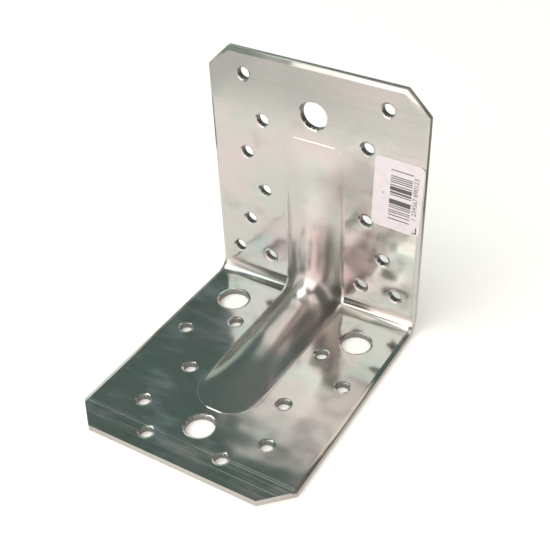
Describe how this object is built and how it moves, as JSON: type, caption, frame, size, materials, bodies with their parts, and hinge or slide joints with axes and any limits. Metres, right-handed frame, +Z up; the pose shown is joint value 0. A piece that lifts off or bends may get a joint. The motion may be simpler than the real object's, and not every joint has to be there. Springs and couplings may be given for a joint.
{
  "type": "angle bracket",
  "caption": "Right-angle bracket pressed from bright sheet steel, with a hollow stiffening rib through the bend, bolt and nail holes in both legs, cut outer corners and a paper label.",
  "frame": {"origin": "middle of the footprint, on the underside of the base leg", "axes": "+X across the bracket, +Y towards the upright leg, +Z up along the upright leg"},
  "size_m": [0.09, 0.105, 0.105],
  "materials": {
    "zinc": "bright smooth zinc coat over rolled sheet, with faint rolling lines and small handling dents",
    "label_paper": "matt white adhesive paper with dark print"
  },
  "bodies": {
    "root": {"bracket": "zinc", "label": "label_paper"}
  },
  "joints": []
}
